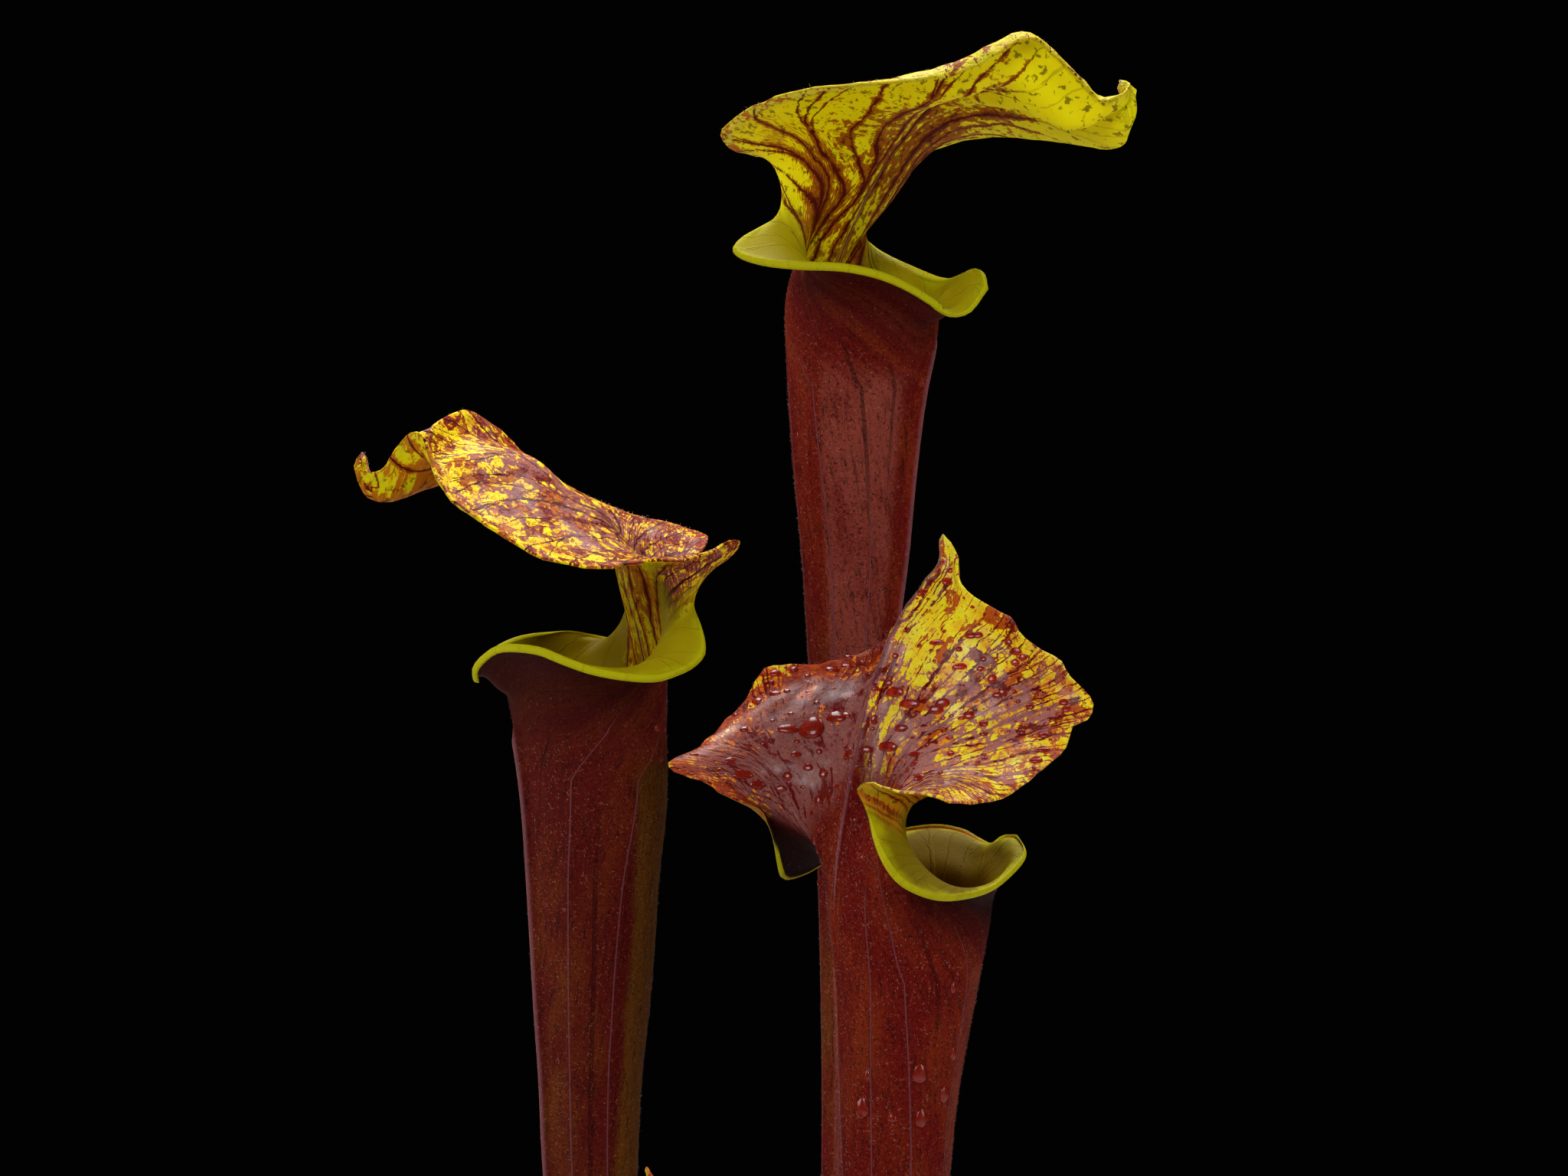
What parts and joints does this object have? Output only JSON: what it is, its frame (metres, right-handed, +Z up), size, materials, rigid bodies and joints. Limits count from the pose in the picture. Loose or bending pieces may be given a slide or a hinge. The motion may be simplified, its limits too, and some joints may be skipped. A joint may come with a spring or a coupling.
{
  "type": "yellow pitcher plant",
  "caption": "Carnivorous yellow pitcher plant with tall hollow tubular leaves, flared yellow-green lips and veined hooded lids, rooted in soil",
  "frame": {"origin": "centre of the pot's flat base", "axes": "+Z up, along the pitchers; the plant is seen from -Y, with +X to the viewer's right"},
  "size_m": [0.2096, 0.1568, 0.6289],
  "materials": {
    "tall_pitcher": "satin, waxy leaf skin",
    "left_pitcher": "satin, waxy leaf skin",
    "front_pitcher": "satin, waxy leaf skin",
    "small_pitcher": "satin, waxy leaf skin",
    "rhizome": "rough",
    "soil": "loose peat, rough",
    "pot": "matt fired clay"
  },
  "bodies": {
    "root": {"tall_pitcher": "tall_pitcher", "left_pitcher": "left_pitcher", "front_pitcher": "front_pitcher", "small_pitcher": "small_pitcher", "rhizome": "rhizome", "soil": "soil", "pot": "pot"}
  },
  "joints": []
}
